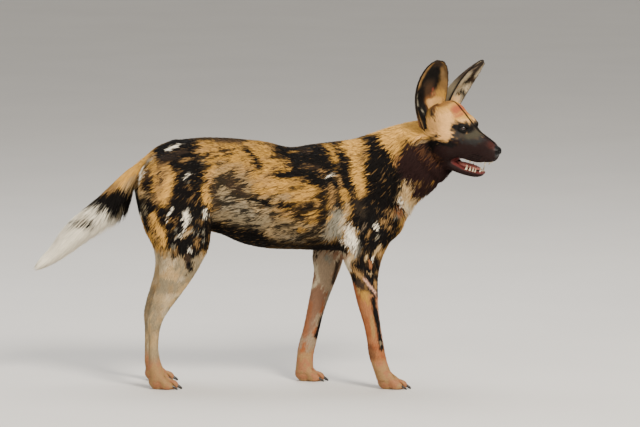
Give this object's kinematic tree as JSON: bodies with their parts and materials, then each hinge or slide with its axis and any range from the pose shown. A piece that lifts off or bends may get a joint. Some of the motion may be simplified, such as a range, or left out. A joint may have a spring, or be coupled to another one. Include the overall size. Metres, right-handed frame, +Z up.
{
  "type": "african wild dog",
  "caption": "Life-size still model of a lean, big-eared wild dog standing with its head turned and its mouth a little open.",
  "frame": {"origin": "on the ground under the middle of the animal's bounding box", "axes": "+X the way the animal faces, +Y its left side, +Z up"},
  "size_m": [1.3181, 0.2516, 0.9243],
  "materials": {
    "coat_black": "short black coat",
    "coat_ochre": "short golden-ochre coat",
    "coat_tan": "short red-brown coat",
    "coat_white": "long white coat",
    "coat_cream": "short cream coat",
    "eye_brown": "wet brown eye",
    "mouth_pink": "moist pink tongue"
  },
  "bodies": {
    "root": {"torso": "coat_ochre", "neck": "coat_black", "head": "coat_cream", "lower_jaw": "coat_black", "tongue": "mouth_pink", "ear_right": "coat_black", "ear_left": "coat_black", "eye_right": "eye_brown", "eye_left": "eye_brown", "shoulder_right": "coat_black", "forearm_right": "coat_tan", "fore_paw_right": "coat_tan", "shoulder_left": "coat_black", "forearm_left": "coat_tan", "fore_paw_left": "coat_tan", "thigh_right": "coat_black", "shank_right": "coat_cream", "hind_paw_right": "coat_cream", "thigh_left": "coat_black", "shank_left": "coat_cream", "hind_paw_left": "coat_cream", "tail_base": "coat_ochre", "tail_brush": "coat_white"}
  },
  "joints": []
}
